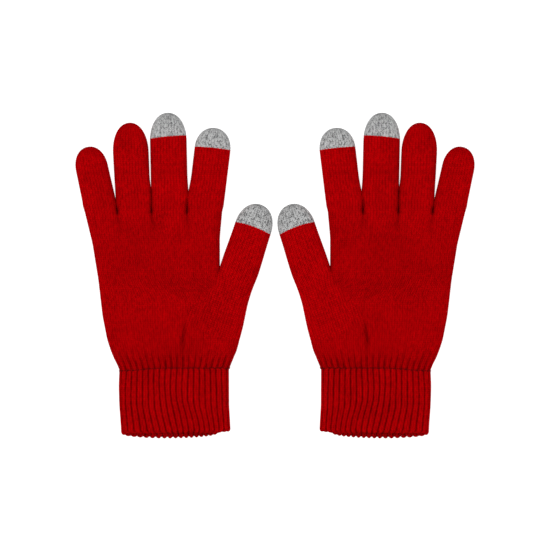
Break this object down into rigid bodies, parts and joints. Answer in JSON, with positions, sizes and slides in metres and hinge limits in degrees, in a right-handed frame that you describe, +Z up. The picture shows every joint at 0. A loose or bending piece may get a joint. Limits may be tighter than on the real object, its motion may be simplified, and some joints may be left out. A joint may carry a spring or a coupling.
{
  "type": "touchscreen gloves",
  "caption": "Pair of red knitted gloves lying palm up, with light conductive yarn tips on thumb, index and middle finger and ribbed cuffs.",
  "frame": {"origin": "on the resting surface, at the middle of the pair's footprint", "axes": "+X across the pair, from the right-hand glove to the left-hand glove; +Y from the cuffs to the fingertips; +Z up from the resting surface, the way the palms face"},
  "size_m": [0.2798, 0.2275, 0.0126],
  "materials": {
    "red_knit": "plain-knitted brushed acrylic yarn, matt",
    "conductive_knit": "heathered light grey conductive yarn, plain-knitted, matt",
    "elastic": "elastic thread covered in yarn, matt",
    "seam_thread": "tight linking thread, matt"
  },
  "bodies": {
    "right_hand": {"right_hand": "red_knit"},
    "right_cuff": {"right_wrist_rib": "red_knit", "right_cuff_band": "red_knit", "right_cuff_lining": "red_knit", "right_cuff_elastic": "elastic", "right_linking_seam": "seam_thread"},
    "right_little_base": {"right_little_base": "red_knit"},
    "right_little_end": {"right_little_end": "red_knit"},
    "right_ring_base": {"right_ring_base": "red_knit"},
    "right_ring_end": {"right_ring_end": "red_knit"},
    "right_middle_base": {"right_middle_base": "red_knit"},
    "right_middle_end": {"right_middle_end": "red_knit", "right_middle_tip": "conductive_knit"},
    "right_index_base": {"right_index_base": "red_knit"},
    "right_index_end": {"right_index_end": "red_knit", "right_index_tip": "conductive_knit"},
    "right_thumb_base": {"right_thumb_base": "red_knit"},
    "right_thumb_end": {"right_thumb_end": "red_knit", "right_thumb_tip": "conductive_knit"},
    "left_hand": {"left_hand": "red_knit"},
    "left_cuff": {"left_wrist_rib": "red_knit", "left_cuff_band": "red_knit", "left_cuff_lining": "red_knit", "left_cuff_elastic": "elastic", "left_linking_seam": "seam_thread"},
    "left_little_base": {"left_little_base": "red_knit"},
    "left_little_end": {"left_little_end": "red_knit"},
    "left_ring_base": {"left_ring_base": "red_knit"},
    "left_ring_end": {"left_ring_end": "red_knit"},
    "left_middle_base": {"left_middle_base": "red_knit"},
    "left_middle_end": {"left_middle_end": "red_knit", "left_middle_tip": "conductive_knit"},
    "left_index_base": {"left_index_base": "red_knit"},
    "left_index_end": {"left_index_end": "red_knit", "left_index_tip": "conductive_knit"},
    "left_thumb_base": {"left_thumb_base": "red_knit"},
    "left_thumb_end": {"left_thumb_end": "red_knit", "left_thumb_tip": "conductive_knit"}
  },
  "joints": [
    {"name": "right_wrist_bend", "type": "hinge", "parent": "right_hand", "child": "right_cuff", "pos_m": [-0.0707, -0.05945, 0.01], "axis": [-1, 0, 0], "range_deg": [0, 80]},
    {"name": "right_little_root_bend", "type": "hinge", "parent": "right_hand", "child": "right_little_base", "pos_m": [-0.1231, 0.05075, 0.01], "axis": [1, 0, 0], "range_deg": [0, 90]},
    {"name": "right_little_middle_bend", "type": "hinge", "parent": "right_little_base", "child": "right_little_end", "pos_m": [-0.12672, 0.06736, 0.01], "axis": [1, 0, 0], "range_deg": [0, 100]},
    {"name": "right_ring_root_bend", "type": "hinge", "parent": "right_hand", "child": "right_ring_base", "pos_m": [-0.0993, 0.05075, 0.01], "axis": [1, 0, 0], "range_deg": [0, 90]},
    {"name": "right_ring_middle_bend", "type": "hinge", "parent": "right_ring_base", "child": "right_ring_end", "pos_m": [-0.10043, 0.07472, 0.01], "axis": [1, 0, 0], "range_deg": [0, 100]},
    {"name": "right_middle_root_bend", "type": "hinge", "parent": "right_hand", "child": "right_middle_base", "pos_m": [-0.0737, 0.05075, 0.01], "axis": [1, 0, 0], "range_deg": [0, 90]},
    {"name": "right_middle_middle_bend", "type": "hinge", "parent": "right_middle_base", "child": "right_middle_end", "pos_m": [-0.07427, 0.07774, 0.01], "axis": [1, 0, 0], "range_deg": [0, 100]},
    {"name": "right_index_root_bend", "type": "hinge", "parent": "right_hand", "child": "right_index_base", "pos_m": [-0.0483, 0.05075, 0.01], "axis": [1, 0, 0], "range_deg": [0, 90]},
    {"name": "right_index_middle_bend", "type": "hinge", "parent": "right_index_base", "child": "right_index_end", "pos_m": [-0.04585, 0.07261, 0.01], "axis": [1, 0, 0], "range_deg": [0, 100]},
    {"name": "right_thumb_root_bend", "type": "hinge", "parent": "right_hand", "child": "right_thumb_base", "pos_m": [-0.0248, 0.00525, 0.01], "axis": [0.9511, -0.309, 0], "range_deg": [0, 60]},
    {"name": "right_thumb_middle_bend", "type": "hinge", "parent": "right_thumb_base", "child": "right_thumb_end", "pos_m": [-0.01893, 0.02332, 0.01], "axis": [0.9511, -0.309, 0], "range_deg": [0, 80]},
    {"name": "left_wrist_bend", "type": "hinge", "parent": "left_hand", "child": "left_cuff", "pos_m": [0.0707, -0.05945, 0.01], "axis": [-1, 0, 0], "range_deg": [0, 80]},
    {"name": "left_little_root_bend", "type": "hinge", "parent": "left_hand", "child": "left_little_base", "pos_m": [0.1231, 0.05075, 0.01], "axis": [1, 0, 0], "range_deg": [0, 90]},
    {"name": "left_little_middle_bend", "type": "hinge", "parent": "left_little_base", "child": "left_little_end", "pos_m": [0.12672, 0.06736, 0.01], "axis": [1, 0, 0], "range_deg": [0, 100]},
    {"name": "left_ring_root_bend", "type": "hinge", "parent": "left_hand", "child": "left_ring_base", "pos_m": [0.0993, 0.05075, 0.01], "axis": [1, 0, 0], "range_deg": [0, 90]},
    {"name": "left_ring_middle_bend", "type": "hinge", "parent": "left_ring_base", "child": "left_ring_end", "pos_m": [0.10043, 0.07472, 0.01], "axis": [1, 0, 0], "range_deg": [0, 100]},
    {"name": "left_middle_root_bend", "type": "hinge", "parent": "left_hand", "child": "left_middle_base", "pos_m": [0.0737, 0.05075, 0.01], "axis": [1, 0, 0], "range_deg": [0, 90]},
    {"name": "left_middle_middle_bend", "type": "hinge", "parent": "left_middle_base", "child": "left_middle_end", "pos_m": [0.07427, 0.07774, 0.01], "axis": [1, 0, 0], "range_deg": [0, 100]},
    {"name": "left_index_root_bend", "type": "hinge", "parent": "left_hand", "child": "left_index_base", "pos_m": [0.0483, 0.05075, 0.01], "axis": [1, 0, 0], "range_deg": [0, 90]},
    {"name": "left_index_middle_bend", "type": "hinge", "parent": "left_index_base", "child": "left_index_end", "pos_m": [0.04585, 0.07261, 0.01], "axis": [1, 0, 0], "range_deg": [0, 100]},
    {"name": "left_thumb_root_bend", "type": "hinge", "parent": "left_hand", "child": "left_thumb_base", "pos_m": [0.0248, 0.00525, 0.01], "axis": [0.9511, 0.309, 0], "range_deg": [0, 60]},
    {"name": "left_thumb_middle_bend", "type": "hinge", "parent": "left_thumb_base", "child": "left_thumb_end", "pos_m": [0.01893, 0.02332, 0.01], "axis": [0.9511, 0.309, 0], "range_deg": [0, 80]},
    {"name": "pair_spread", "type": "slide", "parent": "right_hand", "child": "left_hand", "axis": [1, 0, 0], "range_m": [0, 0.15]}
  ]
}
